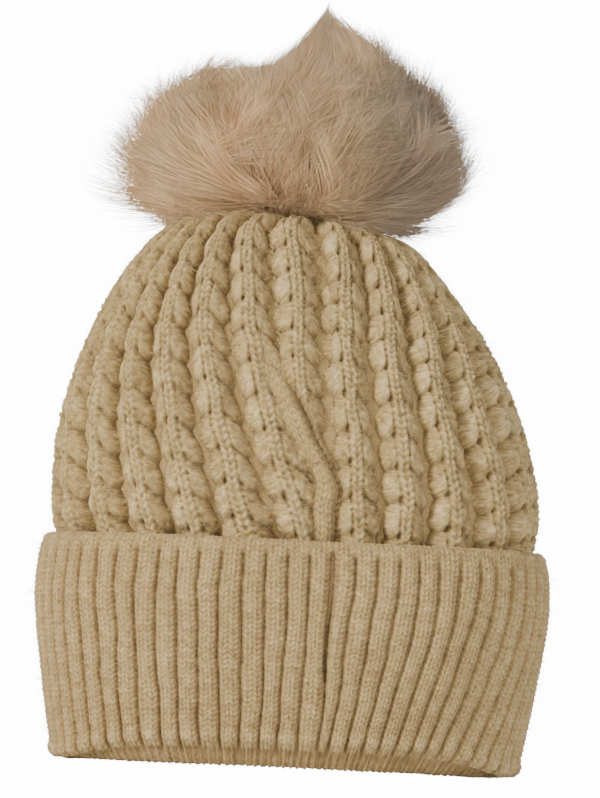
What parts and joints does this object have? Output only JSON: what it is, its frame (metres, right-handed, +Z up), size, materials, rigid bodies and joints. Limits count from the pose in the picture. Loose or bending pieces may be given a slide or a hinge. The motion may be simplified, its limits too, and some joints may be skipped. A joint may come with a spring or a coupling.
{
  "type": "pom pom beanie",
  "caption": "Knitted winter beanie with a turned-up ribbed cuff, a textured crown, a fleece lining and a faux fur pom tied on with elastic.",
  "frame": {"origin": "centre of the base: the brim of the turned-up cuff stands on z = 0, and x = 0, y = 0 is the middle of the hat seen from above", "axes": "+Z up through the crown to the pom, +X across the width of the hat, -Y the side with the back seam"},
  "size_m": [0.2, 0.14, 0.292],
  "materials": {
    "crown_yarn": "matt textured knit, cream beige",
    "rib_yarn": "matt rib knit, cream beige",
    "thread": "matt sewing yarn",
    "fleece": "soft short-napped fleece",
    "label_satin": "woven satin ribbon, blank",
    "elastic": "braided round elastic",
    "button_plastic": "moulded button",
    "felt": "pressed felt",
    "faux_fur": "long pile faux fur, peach beige with dark tips",
    "fibrefill": "polyester wadding"
  },
  "bodies": {
    "root": {"crown_knit": "crown_yarn", "crown_seam": "crown_yarn", "rib_band": "rib_yarn", "band_seam": "rib_yarn", "linking_seam": "thread", "gather_yarn": "thread", "lining": "fleece", "lining_seam": "thread", "lining_hem": "thread", "lining_top_tie": "thread", "label_stitches": "thread", "felt_washer": "felt"},
    "label": {"care_label": "label_satin"},
    "loop": {"elastic_loop": "elastic", "inner_button": "button_plastic"},
    "knot": {"tie_knot": "elastic"},
    "pom": {"pom_fur": "faux_fur", "pom_stuffing": "fibrefill", "pom_drawstring": "thread"}
  },
  "joints": [
    {"name": "pom_turn", "type": "hinge", "parent": "root", "child": "loop", "pos_m": [0, 0.008, 0.23], "axis": [0, 0, 1], "range_deg": [-90, 90], "stiffness_Nm_per_rad": 0.01},
    {"name": "pom_tilt_fore_aft", "type": "hinge", "parent": "loop", "child": "knot", "pos_m": [0, 0.008, 0.23], "axis": [1, 0, 0], "range_deg": [-20, 20], "stiffness_Nm_per_rad": 0.06},
    {"name": "pom_tilt_side", "type": "hinge", "parent": "knot", "child": "pom", "pos_m": [0, 0.008, 0.23], "axis": [0, 1, 0], "range_deg": [-20, 20], "stiffness_Nm_per_rad": 0.06},
    {"name": "label_swing", "type": "hinge", "parent": "root", "child": "label", "pos_m": [0.015, -0.05, 0.052], "axis": [0, 0, 1], "range_deg": [0, 150]}
  ]
}
